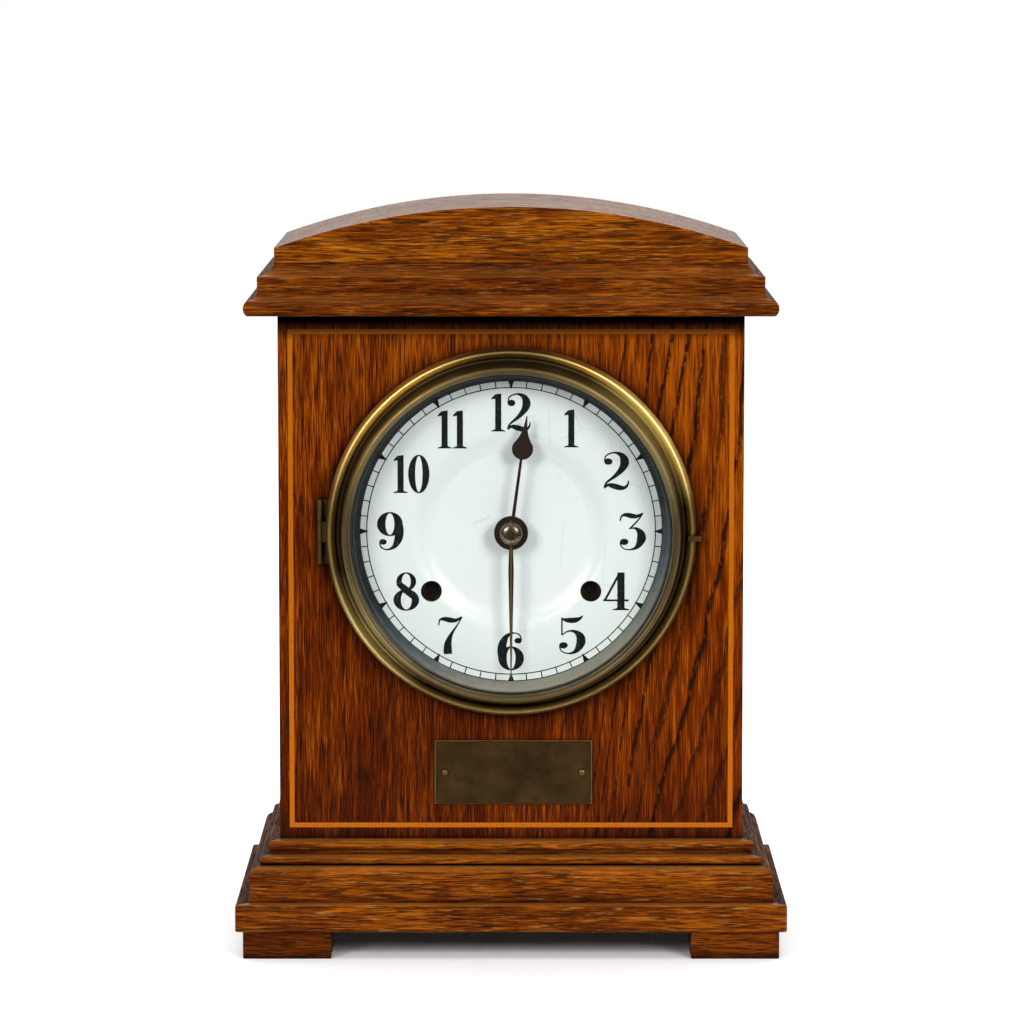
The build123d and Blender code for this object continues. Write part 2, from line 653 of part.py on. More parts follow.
# The pallets stand clear of the wheel: they lock it tooth by tooth on the real clock.
pallet_gap = 1.6
rod_half = 1.2
with BuildPart() as pallet_anchor:
    rod(pallet_arbor, 1.2, front_plate_y + 0.4, pendulum_y - 4.2)
    rod(pallet_arbor, pivot_r, front_plate_y - plate_thick, front_plate_y + 0.4)
    with BuildSketch(upright(-6.6, pallet_arbor[0], pallet_arbor[1])):
        with BuildLine():
            Polyline((0, 3.2), (12.6, -6.2), (12.0, -11.2), (10.4, -10.2), (9.8, -6.8), (0, -0.6), (-9.8, -6.8),
                     (-10.4, -10.2), (-12.0, -11.2), (-12.6, -6.2), close=True)
        make_face()
        with Locations((escape_arbor[0] - pallet_arbor[0], escape_arbor[1] - pallet_arbor[1])):
            Circle(escape_r + pallet_gap, mode=Mode.SUBTRACT)
    extrude(amount=2.0)
    slab((-1.4, 1.4), (pendulum_y - 5.6, pendulum_y - 4.2), (pallet_arbor[1] - 38, pallet_arbor[1] + 2))
    for side in (-1, 1):
        slab(sorted((side * (rod_half + 0.3), side * (rod_half + 1.5))), (pendulum_y - 4.2, pendulum_y + 1.5),
             (pallet_arbor[1] - 38, pallet_arbor[1] - 36.8))
    slab((-rod_half - 1.5, rod_half + 1.5), (pendulum_y - 5.6, pendulum_y - 4.2),
         (pallet_arbor[1] - 38, pallet_arbor[1] - 36.8))
write_step(pallet_anchor, "pallet_anchor")

bob_z = pallet_arbor[1] - pendulum_length
bob_r = 22.0
with BuildPart() as pendulum_rod:
    slab((-rod_half, rod_half), (pendulum_y - 0.6, pendulum_y + 0.6), (bob_z - bob_r - 6, pallet_arbor[1] + 5.6))
write_step(pendulum_rod, "pendulum_rod")

with BuildPart() as pendulum_bob:
    with BuildSketch(turning_plane(pendulum_y, 0, bob_z)):
        with BuildLine():
            Polyline((0, -5.0), (bob_r - 5, -4.0))
            ThreePointArc((bob_r - 5, -4.0), (bob_r, 0), (bob_r - 5, 4.0))
            Polyline((bob_r - 5, 4.0), (0, 5.0), (0, -5.0))
        make_face()
    revolve(axis=turning_axis(0, bob_z))
    slab((-rod_half, rod_half), (pendulum_y - 0.6, pendulum_y + 0.6), (bob_z - 40, bob_z + 40), Mode.SUBTRACT)
write_step(pendulum_bob, "pendulum_bob")

with BuildPart() as strike_pin_wheel:
    train_arbor(pin_arbor)
    toothed(pin_arbor, second_leaves, great_module, pinion_form, -32.4, -28.8,
            leaf_angle(pin_arbor, strike_arbor, second_leaves))
    toothed(pin_arbor, pin_teeth, pin_module, wheel_form, -28.4, -27.2, bearing(pin_arbor, fly_arbor))
    with BuildSketch(upright(-26.4, pin_arbor[0], pin_arbor[1])):
        with PolarLocations(10.0, 8):
            Circle(0.6)
    extrude(amount=0.8)
write_step(strike_pin_wheel, "strike_pin_wheel")

with BuildPart() as strike_fly:
    train_arbor(fly_arbor, 1.0)
    toothed(fly_arbor, fly_leaves, pin_module, pinion_form, -29.4, -26.6,
            leaf_angle(fly_arbor, pin_arbor, fly_leaves))
    slab((fly_arbor[0] - 8, fly_arbor[0] + 8), (-22.0, -8.0), (fly_arbor[1] - 0.3, fly_arbor[1] + 0.3))
write_step(strike_fly, "strike_fly")

head_range = (-63.0, -41.0)
with BuildPart() as hammer:
    rod(hammer_arbor, 1.3, back_plate_y + 0.2, gong_y + 2)
    rod(hammer_arbor, pivot_r, front_plate_y - plate_thick, back_plate_y + 0.2)
    slab((hammer_arbor[0] - 0.9, hammer_arbor[0] + 0.9), (gong_y - 0.9, gong_y + 0.9), (gong_z, hammer_arbor[1]))
    with BuildSketch(Plane.YZ.offset(head_range[0])):
        with Locations((gong_y, gong_z)):
            Circle(4.0)
    extrude(amount=head_range[1] - head_range[0])
write_step(hammer, "hammer")

# ---- motion work and hands ---------------------------------------------------------------------------------------
plate_front = front_plate_y - plate_thick
with BuildPart() as cannon_pinion:
    toothed(centre, cannon_leaves, cannon_module, pinion_form, -40.8, -38.0,
            leaf_angle(centre, minute_arbor, cannon_leaves))
    rod(centre, 2.3, panel_y - minute_height - hand_thick, -40.8)
    rod(centre, 1.6 + pivot_clear, panel_y - 20, -36, Mode.SUBTRACT)
write_step(cannon_pinion, "cannon_pinion")

with BuildPart() as minute_wheel:
    toothed(minute_arbor, minute_teeth, cannon_module, wheel_form, -40.0, -38.8, bearing(minute_arbor, centre))
    toothed(minute_arbor, minute_leaves, hour_module, pinion_form, -45.2, -40.0,
            bearing(minute_arbor, centre) + 180.0 / minute_leaves)
    rod(minute_arbor, 1.0 + pivot_clear, -50, -36, Mode.SUBTRACT)
write_step(minute_wheel, "minute_wheel")

with BuildPart() as hour_wheel:
    toothed(centre, hour_teeth, hour_module, wheel_form, -44.4, -43.2, bearing(centre, minute_arbor))
    rod(centre, 3.3, panel_y - hour_height - hand_thick, -43.2)
    rod(centre, 2.3 + 0.08, panel_y - 20, -36, Mode.SUBTRACT)
write_step(hour_wheel, "hour_wheel")

drop_r = 37.0
drop_half = 4.6
with BuildPart() as hour_hand:
    with BuildSketch(upright(panel_y - hour_height, 0, dial_z, hour_turn)):
        Circle(7.4)
        with BuildLine():
            Line((-0.75, 5.0), (0.75, 5.0))
            Line((0.75, 5.0), (0.6, drop_r - drop_half))
            ThreePointArc((0.6, drop_r - drop_half), (drop_half, drop_r), (3.4, drop_r + 3.1))
            Spline((3.4, drop_r + 3.1), (1.1, drop_r + 8.4), (0.25, drop_r + 14.5),
                   tangents=((-0.72, 1), (-0.08, 1)))
            Line((0.25, drop_r + 14.5), (-0.25, drop_r + 14.5))
            Spline((-0.25, drop_r + 14.5), (-1.1, drop_r + 8.4), (-3.4, drop_r + 3.1),
                   tangents=((-0.08, -1), (-0.72, -1)))
            ThreePointArc((-3.4, drop_r + 3.1), (-drop_half, drop_r), (-0.6, drop_r - drop_half))
            Line((-0.6, drop_r - drop_half), (-0.75, 5.0))
        make_face()
        Circle(3.3, mode=Mode.SUBTRACT)
    extrude(amount=hand_thick)
write_step(hour_hand, "hour_hand")

with BuildPart() as minute_hand:
    with BuildSketch(upright(panel_y - minute_height, 0, dial_z, minute_turn)):
        Circle(5.6)
        Polygon((-0.75, 4.0), (0.75, 4.0), (1.2, 16.0), (0.8, 36.0), (0.2, 64.0), (-0.2, 64.0), (-0.8, 36.0),
                (-1.2, 16.0), align=None)
        Circle(2.3, mode=Mode.SUBTRACT)
    extrude(amount=hand_thick)
write_step(minute_hand, "minute_hand")

nut_base = minute_height + hand_thick
with BuildPart() as hand_nut:
    with BuildSketch(turning_plane(panel_y)):
        with BuildLine():
            Polyline((1.6 + pivot_clear, nut_base), (4.7, nut_base), (5.0, nut_base + 0.4), (4.8, nut_base + 1.0))
            Spline((4.8, nut_base + 1.0), (0, nut_base + 3.1), tangents=((-0.3, 1), (-1, 0)))
            Polyline((0, nut_base + 3.1), (0, nut_base + 1.6), (1.6 + pivot_clear, nut_base + 1.6),
                     (1.6 + pivot_clear, nut_base))
        make_face()
    revolve(axis=turning_axis())
write_step(hand_nut, "hand_nut")

# ---- back door -----------------------------------------------------------------------------------------------------
door_hinge_y = back_face_y + 1.5
door_barrel_r = 1.4
door_hinges_z = (92.0, 234.0)
door_knuckle = 10.0
with BuildPart() as back_door:
    slab((-door_half + door_gap, door_half - door_gap), (60.0, back_face_y), (door_low + door_gap,
                                                                             door_high - door_gap))
    with BuildSketch(upright(back_face_y, 0, 185)):
        with PolarLocations(12.0, 6):
            SlotOverall(9.0, 3.0)
    extrude(amount=6.0, mode=Mode.SUBTRACT)
    with BuildSketch(upright(back_face_y, 0, 185)):
        with PolarLocations(12.0, 6):
            SlotOverall(9.0, 3.0)
    extrude(amount=-6.0, mode=Mode.SUBTRACT)
write_step(back_door, "back_door")


def door_knuckles(offsets, bore_r, leaf_range):
    """Hinge knuckles at both hinge heights, with the leaf that carries them."""
    for height in door_hinges_z:
        for offset_z in offsets:
            with BuildSketch(Plane.XY.offset(height + offset_z)) as ring:
                with Locations((door_half - door_gap / 2, door_hinge_y)):
                    Circle(door_barrel_r)
                    Circle(bore_r, mode=Mode.SUBTRACT)
            extrude(ring.sketch, amount=door_knuckle - 0.2)
            slab(leaf_range, (back_face_y, back_face_y + 0.8),
                 (height + offset_z, height + offset_z + door_knuckle - 0.2))


with BuildPart() as door_hinge_leaves:
    door_knuckles((-door_knuckle * 1.5, door_knuckle * 0.5), 0.7, (door_half + 0.4, door_half + 10))
    for height in door_hinges_z:
        with BuildSketch(Plane.XY.offset(height - 1.5 * door_knuckle)):
            with Locations((door_half - door_gap / 2, door_hinge_y)):
                Circle(0.7)
        extrude(amount=3 * door_knuckle - 0.2)
write_step(door_hinge_leaves, "door_hinge_leaves")

with BuildPart() as door_leaves:
    door_knuckles((-door_knuckle * 0.5,), 0.76, (door_half - 10, door_half - 0.8))
write_step(door_leaves, "door_leaves")

with BuildPart() as door_turn_button:
    rod(door_button_place, 1.44, back_frame_y + 1, back_face_y + 0.3)
    with BuildSketch(upright(back_face_y + 2.6, door_button_place[0], door_button_place[1])):
        SlotOverall(24.0, 6.0, rotation=90)
    extrude(amount=2.3)
write_step(door_turn_button, "door_turn_button")
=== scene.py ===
"""Visual model of the mantel clock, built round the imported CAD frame. Metres, Z up, dial facing -Y."""
import math
import bmesh
import bpy
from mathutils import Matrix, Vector
from mathutils.geometry import delaunay_2d_cdt


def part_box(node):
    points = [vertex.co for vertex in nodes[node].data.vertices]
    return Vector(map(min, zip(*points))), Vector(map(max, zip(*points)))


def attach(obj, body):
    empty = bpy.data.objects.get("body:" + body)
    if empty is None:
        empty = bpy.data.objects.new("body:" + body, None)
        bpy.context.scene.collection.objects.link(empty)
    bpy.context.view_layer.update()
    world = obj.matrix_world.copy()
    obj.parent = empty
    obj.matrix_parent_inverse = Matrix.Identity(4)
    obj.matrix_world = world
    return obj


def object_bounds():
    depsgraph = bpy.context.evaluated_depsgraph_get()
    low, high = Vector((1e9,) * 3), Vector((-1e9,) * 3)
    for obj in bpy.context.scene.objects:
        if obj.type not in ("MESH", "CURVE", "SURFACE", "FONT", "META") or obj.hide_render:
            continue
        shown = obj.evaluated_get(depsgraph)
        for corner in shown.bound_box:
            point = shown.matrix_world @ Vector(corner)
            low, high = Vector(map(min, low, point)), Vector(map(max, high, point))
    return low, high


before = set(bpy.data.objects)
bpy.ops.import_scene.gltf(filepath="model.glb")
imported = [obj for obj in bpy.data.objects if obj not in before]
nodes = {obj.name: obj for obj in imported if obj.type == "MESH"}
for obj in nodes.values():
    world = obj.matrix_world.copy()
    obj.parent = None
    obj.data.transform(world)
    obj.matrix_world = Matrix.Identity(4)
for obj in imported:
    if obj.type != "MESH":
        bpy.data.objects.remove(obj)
cad_low, cad_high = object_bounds()
mm = 0.001

# ---- places read from the frame ------------------------------------------------------------------
panel_low, panel_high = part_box("front_panel")
dial_low, dial_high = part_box("dial")
plaque_low, plaque_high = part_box("plaque")
bezel_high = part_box("bezel_ring")[1]
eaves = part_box("cornice_front")[0].z
panel_y = panel_low.y
dial_centre = Vector(((dial_low.x + dial_high.x) / 2, panel_y, (dial_low.z + dial_high.z) / 2))


def srgb(red, green, blue):
    """Linear colour from 8-bit display values."""
    def linear(value):
        value /= 255.0
        return value / 12.92 if value <= 0.04045 else ((value + 0.055) / 1.055) ** 2.4
    return (linear(red), linear(green), linear(blue), 1.0)


# ---- small node-graph kit ------------------------------------------------------------------------
class Graph:
    """One material's node tree, with short calls for the nodes used here."""

    def __init__(self, name):
        self.material = bpy.data.materials.new(name)
        self.material.use_nodes = True
        self.tree = self.material.node_tree
        self.tree.nodes.clear()
        output = self.tree.nodes.new("ShaderNodeOutputMaterial")
        self.shader = self.tree.nodes.new("ShaderNodeBsdfPrincipled")
        self.tree.links.new(self.shader.outputs[0], output.inputs["Surface"])
        self.place = self.tree.nodes.new("ShaderNodeTexCoord").outputs["Object"]

    def put(self, socket, value):
        """Link an output to a socket, or set the socket to a plain value."""
        if isinstance(value, bpy.types.NodeSocket):
            self.tree.links.new(value, socket)
        elif isinstance(value, (int, float)) or len(value) == len(socket.default_value):
            socket.default_value = value
        else:
            socket.default_value = (*value, 1.0)

    def set(self, **values):
        """Set inputs of the Principled shader, with underscores for spaces."""
        for name, value in values.items():
            self.put(self.shader.inputs[name.replace("_", " ")], value)

    def math(self, operation, first, second=0.0):
        node = self.tree.nodes.new("ShaderNodeMath")
        node.operation = operation
        self.put(node.inputs[0], first)
        self.put(node.inputs[1], second)
        return node.outputs[0]

    def split(self, vector):
        node = self.tree.nodes.new("ShaderNodeSeparateXYZ")
        self.put(node.inputs[0], vector)
        return node.outputs

    def join(self, x, y, z):
        node = self.tree.nodes.new("ShaderNodeCombineXYZ")
        for socket, value in zip(node.inputs, (x, y, z)):
            self.put(socket, value)
        return node.outputs[0]

    def noise(self, vector, scale, detail=3.0, roughness=0.5):
        node = self.tree.nodes.new("ShaderNodeTexNoise")
        self.put(node.inputs["Vector"], vector)
        node.inputs["Scale"].default_value = scale
        node.inputs["Detail"].default_value = detail
        node.inputs["Roughness"].default_value = roughness
        return node.outputs[0]

    def ramp(self, value, *stops):
        """Map a value through (position, grey or colour) stops."""
        node = self.tree.nodes.new("ShaderNodeValToRGB")
        self.put(node.inputs[0], value)
        elements = node.color_ramp.elements
        while len(elements) < len(stops):
            elements.new(0.5)
        for element, (position, colour) in zip(elements, stops):
            element.position = position
            element.color = (colour, colour, colour, 1.0) if isinstance(colour, (int, float)) else colour
        return node.outputs[0]

    def mix(self, factor, first, second, blend="MIX"):
        node = self.tree.nodes.new("ShaderNodeMix")
        node.data_type = "RGBA"
        node.blend_type = blend
        self.put(node.inputs[0], factor)
        self.put(node.inputs[6], first)
        self.put(node.inputs[7], second)
        return node.outputs[2]

    def creases(self, distance):
        """0 deep in a corner, 1 in the open."""
        node = self.tree.nodes.new("ShaderNodeAmbientOcclusion")
        node.samples = 6
        node.only_local = False
        node.inputs["Distance"].default_value = distance
        return node.outputs["AO"]

    def facing_up(self):
        """1 on level ledges, 0 on upright faces."""
        node = self.tree.nodes.new("ShaderNodeNewGeometry")
        return self.split(node.outputs["True Normal"])[2]

    def bump(self, height, strength, distance):
        node = self.tree.nodes.new("ShaderNodeBump")
        node.inputs["Strength"].default_value = strength
        node.inputs["Distance"].default_value = distance
        self.put(node.inputs["Height"], height)
        self.put(self.shader.inputs["Normal"], node.outputs[0])


# ---- wood ----------------------------------------------------------------------------------------
def leaning_growth(g, across, along, drift):
    """Growth lines of the front panel: fine and upright on the left, wide and leaning on the right."""
    low, high = panel_low.z * 1000.0, panel_high.z * 1000.0
    below = g.math("SUBTRACT", high + 60.0, along)
    lean = g.math("MULTIPLY", g.math("MULTIPLY", below, below), 0.13 / (high - low))
    weight = g.ramp(g.math("ADD", g.math("DIVIDE", across, 2 * panel_high.x * 1000.0), 0.5),
                    (0.38, 0.0), (0.56, 0.4), (0.8, 1.0))
    place = g.math("ADD", g.math("ADD", across, g.math("MULTIPLY", weight, lean)), drift)
    right = g.math("MAXIMUM", place, 0.0)
    left = g.math("MINIMUM", place, 0.0)
    spacing = g.math("LOGARITHM", g.math("ADD", g.math("MULTIPLY", right, 0.04), 1.0), math.e)
    wide = g.math("MULTIPLY", spacing, 12.5)
    return g.math("ADD", wide, g.math("MULTIPLY", left, 0.75)), weight


def soot_below_eaves(g, z, upper, lower):
    """Painted shadow in the corner under the cornice, as a factor that rises to 1 about 12 mm further down."""
    below = g.math("MULTIPLY", g.math("SUBTRACT", eaves, z), 50.0)
    return g.ramp(below, (0.16, 0.02), (0.28, upper), (0.44, lower), (0.58, 1.0))


def oak(name, grain, deep, middle, light, pore, lines, figure="straight", flecks=0.0, shade_and_dirt_reach=0.005,
        gloss=0.36, seed=0.0, pore_length=9.0, spread=0.13, rise=0.0, sheen=0.035, fine=1.0, dust_and_light=0.0,
        clouds=0.35):
    """Stained and varnished oak: clouded stain, fibres, pores in dashes, growth lines, and painted shade with
    some dirt in corners.

    grain is the axis along the grain, and lines is how dark the growth lines are. fine scales the pores and
    bands, rise paints light that grows towards the top and shade on the left half and paints the shadow under
    the eaves, and dust pales the level ledges with dirt lying on them and painted light.
    """
    g = Graph(name)
    x, y, z = g.split(g.place)
    along = {"x": x, "y": y, "z": z}[grain]
    across, depth = {"x": (z, y), "y": (z, x), "z": (x, y)}[grain]
    along, across, depth = (g.math("MULTIPLY", value, 1000.0) for value in (along, across, depth))

    def streak(width, length, offset, detail=2.0, roughness=0.55):
        return g.noise(g.join(g.math("MULTIPLY", across, 1 / width), g.math("MULTIPLY", depth, 1 / width),
                              g.math("ADD", g.math("MULTIPLY", along, 1 / length), seed + offset)),
                       1.0, detail, roughness)

    drift = g.math("MULTIPLY", g.math("SUBTRACT", streak(30.0, 70.0, 0.0), 0.5), 12.0)
    if figure == "leaning":
        growth, boldness = leaning_growth(g, across, along, drift)
    else:
        side = g.math("ADD", g.math("ADD", across, g.math("MULTIPLY", depth, 0.6)), drift)
        growth, boldness = g.math("MULTIPLY", side, 0.36), None
    growth = g.math("ADD", growth, g.math("MULTIPLY", streak(9.0, 26.0, 5.0), 0.55))
    band = g.math("FRACT", growth)
    line = g.ramp(band, (0.0, 1.0), (0.12, 0.95), (0.27, 0.0), (0.93, 0.0), (1.0, 1.0))
    which = g.noise(g.join(g.math("MULTIPLY", g.math("FLOOR", growth), 0.71), seed, 0.0), 1.0, 0.0)
    line = g.math("MULTIPLY", line, g.ramp(which, (0.36, 0.45), (0.5, 1.0)))
    beads = g.ramp(streak(1.2, 3.6, 9.0, 1.0, 0.5), (0.38, 0.35), (0.47, 1.0))
    line = g.math("MULTIPLY", line, beads)
    if boldness is not None:
        line = g.math("MULTIPLY", line, g.math("ADD", g.math("MULTIPLY", boldness, 1.0 - lines), lines))
        pore_share = g.math("SUBTRACT", 0.95, g.math("MULTIPLY", boldness, 0.66))
    else:
        line = g.math("MULTIPLY", line, lines)
        pore_share = 1.0
    holes = g.ramp(streak(0.66 * fine, pore_length, 13.0, 1.0, 0.5), (0.53, 0.0), (0.60, 1.0))
    holes = g.math("MULTIPLY", holes, pore_share)
    fibre = streak(0.5, 14.0, 17.0, 2.0, 0.6)
    bands = streak(2.2 * fine, 40.0 * fine, 21.0, 3.0, 0.6)
    cloud = streak(24.0, 70.0, 25.0, 3.0)
    tone = g.math("ADD", g.math("MULTIPLY", fibre, 0.65 - clouds), g.math("MULTIPLY", bands, 0.35))
    tone = g.math("ADD", tone, g.math("MULTIPLY", cloud, clouds))
    if rise:
        # painted light: lighter towards the top and darker on the left half
        height_share = g.math("DIVIDE", g.math("SUBTRACT", z, panel_low.z), panel_high.z - panel_low.z)
        tone = g.math("ADD", tone, g.math("MULTIPLY", g.math("SUBTRACT", height_share, 0.55), rise))
        tone = g.math("ADD", tone, g.math("MULTIPLY", g.math("MINIMUM", x, 0.0), 0.36))
    colour = g.ramp(tone, (0.5 - spread, deep), (0.5, middle), (0.5 + spread, light))
    if flecks:
        bright = g.ramp(streak(1.3 * fine, 15.0 * fine, 31.0, 3.0, 0.65), (0.56, 0.0), (0.7, 1.0))
        colour = g.mix(g.math("MULTIPLY", bright, flecks), colour, g.mix(0.5, light, srgb(214, 160, 84)))
    dark = g.math("MAXIMUM", g.math("MULTIPLY", holes, 0.8), line)
    colour = g.mix(g.math("MULTIPLY", dark, 0.95), colour, pore)
    # painted shade: darker in corners, creases and under overhangs, with some dirt there too
    shade_and_dirt = g.ramp(g.creases(shade_and_dirt_reach), (0.3, srgb(38, 30, 18)), (0.62, srgb(150, 140, 120)),
                      (0.92, srgb(255, 255, 255)))
    colour = g.mix(1.0, colour, shade_and_dirt, "MULTIPLY")
    # level ledges paled: dirt lying on them and painted light on their tops
    if dust_and_light:
        colour = g.mix(g.ramp(g.facing_up(), (0.35, 0.0), (0.85, dust_and_light)), colour, srgb(170, 108, 44))
    if rise:
        # painted shadow under the cornice
        colour = g.mix(1.0, colour, soot_below_eaves(g, z, 0.28, 0.62), "MULTIPLY")
    g.set(Base_Color=colour, Roughness=g.math("ADD", g.math("MULTIPLY", dark, 0.25), gloss),
          Specular_IOR_Level=sheen)
    height = g.math("ADD", g.math("MULTIPLY", dark, -1.0), g.math("MULTIPLY", fibre, 0.3))
    g.bump(height, 0.35, 0.0002)
    return g.material


def paint(material, *names):
    """Give CAD nodes this material."""
    for name in names:
        slots = nodes[name].data.materials
        slots.clear()
        slots.append(material)


pore_brown = srgb(15, 5, 1)
panel_oak = oak("oak_panel", "z", srgb(62, 19, 1), srgb(104, 40, 1), srgb(154, 76, 4), pore_brown, lines=0.4,
                figure="leaning", shade_and_dirt_reach=0.012, pore_length=12.0, spread=0.11, rise=0.13, fine=0.85, clouds=0.22)
side_oak = oak("oak_side", "z", srgb(56, 18, 1), srgb(94, 38, 2), srgb(138, 70, 5), pore_brown, lines=0.3,
               shade_and_dirt_reach=0.006, gloss=0.5, seed=5.3, sheen=0.03)
plinth_oak = oak("oak_plinth", "x", srgb(54, 18, 1), srgb(98, 42, 1), srgb(150, 79, 6), pore_brown, lines=0.6,
                 flecks=0.4, shade_and_dirt_reach=0.002, seed=2.1, pore_length=10.0, fine=0.72, dust_and_light=0.25)
cornice_oak = oak("oak_cornice", "x", srgb(52, 17, 1), srgb(98, 41, 1), srgb(152, 79, 5), pore_brown,
                  lines=0.6, flecks=0.4, shade_and_dirt_reach=0.008, seed=2.9, pore_length=10.0, fine=0.72, dust_and_light=0.12)
foot_oak = oak("oak_foot", "x", srgb(44, 14, 1), srgb(78, 31, 2), srgb(118, 58, 5), pore_brown, lines=0.5,
               seed=9.3, sheen=0.03)
# the moulding returns are a darker copy of the plinth oak: painted shade on their side-facing slopes
shaded_return_oak = oak("oak_moulding_side_painted_shade", "y", srgb(36, 13, 1), srgb(66, 28, 2), srgb(104, 54, 7), pore_brown,
                 lines=0.6, flecks=0.2, gloss=0.6, seed=7.7, pore_length=11.0, sheen=0.02, fine=0.75)
gable_oak = oak("oak_gable", "x", srgb(62, 24, 1), srgb(116, 54, 1), srgb(182, 103, 6), pore_brown, lines=0.6,
                flecks=0.4, shade_and_dirt_reach=0.006, seed=11.4, pore_length=10.0, fine=0.8)
roof_oak = oak("oak_roof", "x", srgb(58, 32, 12), srgb(92, 54, 22), srgb(128, 82, 38), pore_brown, lines=0.4,
               flecks=0.2, shade_and_dirt_reach=0.004, gloss=0.5, seed=15.9, pore_length=14.0, sheen=0.12)
inner_oak = oak("oak_inner", "z", srgb(84, 50, 24), srgb(118, 76, 40), srgb(148, 102, 58), srgb(50, 28, 12),
                lines=0.3, shade_and_dirt_reach=0.02, gloss=0.6, seed=4.4)
paint(panel_oak, "front_panel")
paint(side_oak, "left_side_panel", "right_side_panel")
paint(plinth_oak, "plinth_front")
paint(cornice_oak, "cornice_front")
paint(foot_oak, "front_feet", "back_feet")
paint(shaded_return_oak, "plinth_left", "plinth_right", "cornice_left", "cornice_right")
paint(gable_oak, "pediment_front", "pediment_back")
paint(roof_oak, "roof_panel", "roof_board")
paint(inner_oak, "base_board", "top_board", "back_frame", "back_door")


def inlay_material():
    """Light stringing, with faint grain and painted shadow under the eaves."""
    g = Graph("inlay_string")
    x, _, z = g.split(g.place)
    streak = g.noise(g.join(g.math("MULTIPLY", x, 900.0), 0.0, g.math("MULTIPLY", z, 900.0)), 1.0, 3.0)
    g.set(Base_Color=g.mix(1.0, g.mix(streak, srgb(140, 66, 1), srgb(188, 104, 4)),
                           soot_below_eaves(g, z, 0.14, 0.45), "MULTIPLY"),
          Roughness=0.36, Specular_IOR_Level=0.12)
    g.bump(streak, 0.2, 0.0001)
    return g.material


paint(inlay_material(), "string_inlay")


# ---- metals --------------------------------------------------------------------------------------
def brass(name, bright, dull, dirt, roughness, tarnish, turned=True, rim=0.0):
    """Old brass: patches of tarnish, turning marks about the dial's centre and dirt in the grooves; with rim,
    also painted light, shade and highlights by clock angle.

    rim is the radius, in millimetres, where the bezel's dull inner bead meets its polished outer one.
    """
    g = Graph(name)
    patches = g.noise(g.place, 60.0, 4.0, 0.6)
    specks = g.noise(g.place, 900.0, 3.0, 0.7)
    stain = g.ramp(g.math("ADD", g.math("MULTIPLY", patches, 0.7), g.math("MULTIPLY", specks, 0.3)),
                   (0.5 - 0.2 * tarnish, 0.0), (0.75, 1.0))
    colour = g.mix(g.math("MULTIPLY", stain, 0.5 + 0.5 * tarnish), bright, dull)
    clean = g.ramp(g.creases(0.004), (0.35, 0.0), (0.9, 1.0))
    colour = g.mix(clean, dirt, colour)
    marks, painted_highlight = specks, None
    if turned:
        x, y, z = g.split(g.place)
        x = g.math("SUBTRACT", x, dial_centre.x)
        z = g.math("SUBTRACT", z, dial_centre.z)
        radius = g.math("SQRT", g.math("ADD", g.math("MULTIPLY", x, x), g.math("MULTIPLY", z, z)))
        lines = g.noise(g.join(g.math("MULTIPLY", radius, 5200.0), g.math("MULTIPLY", y, 5200.0), 0.0),
                        1.0, 2.0)
        marks = g.math("ADD", g.math("MULTIPLY", specks, 0.5), g.math("MULTIPLY", lines, 0.5))
        if rim:
            # painted light and shade by clock angle: lighter at half past ten and half past one, darker
            # elsewhere, broken up by tarnish patches
            sideways = g.math("DIVIDE", g.math("ABSOLUTE", x), radius)
            wear_and_painted_light = g.math("MULTIPLY", g.math("MULTIPLY", sideways, g.math("DIVIDE", z, radius)), 2.0)
            wear_and_painted_light = g.math("ADD", wear_and_painted_light, g.math("MULTIPLY", g.math("SUBTRACT", patches, 0.5), 0.6))
            colour = g.mix(1.0, colour, g.ramp(wear_and_painted_light, (0.25, 0.34), (0.9, 1.0)), "MULTIPLY")
            # painted highlights at half past one and, weaker, at half past seven
            facing = g.math("MAXIMUM", wear_and_painted_light, g.math("MULTIPLY", wear_and_painted_light, 0.75))
            facing = g.math("MULTIPLY", facing, g.math("DIVIDE", x, radius))
            painted_highlight = g.ramp(facing, (0.3, 0.0), (0.75, 0.9))
            colour = g.mix(painted_highlight, colour, srgb(255, 232, 150))
            worn = g.ramp(g.math("SUBTRACT", g.math("MULTIPLY", radius, 1000.0), rim), (0.0, 0.0), (1.0, 1.0))
            colour = g.mix(worn, g.mix(0.8, colour, srgb(76, 64, 44)), colour)
            outside = g.ramp(g.math("SUBTRACT", g.math("MULTIPLY", radius, 1000.0), rim + 5.5),
                             (0.0, 1.0), (0.6, 0.4))
            colour = g.mix(1.0, colour, outside, "MULTIPLY")
    rough = g.math("ADD", g.math("MULTIPLY", stain, 0.22), g.math("SUBTRACT", roughness + 0.15,
                                                                   g.math("MULTIPLY", clean, 0.15)))
    if painted_highlight is not None:
        rough = g.math("ADD", rough, g.math("MULTIPLY", painted_highlight, 0.14))
    g.set(Base_Color=colour, Metallic=1.0, Roughness=rough)
    g.bump(marks, 0.15, 0.00008)
    return g.material


outer_bead = 5.6  # width of the bezel's polished outer bead, in millimetres
bezel_brass = brass("bezel_brass", srgb(244, 206, 120), srgb(150, 114, 58), srgb(12, 7, 3), 0.36, 0.5,
                    rim=bezel_high.x * 1000.0 - outer_bead)
fitting_brass = brass("fitting_brass", srgb(104, 82, 48), srgb(56, 42, 22), srgb(10, 7, 3), 0.36, 0.7, False)


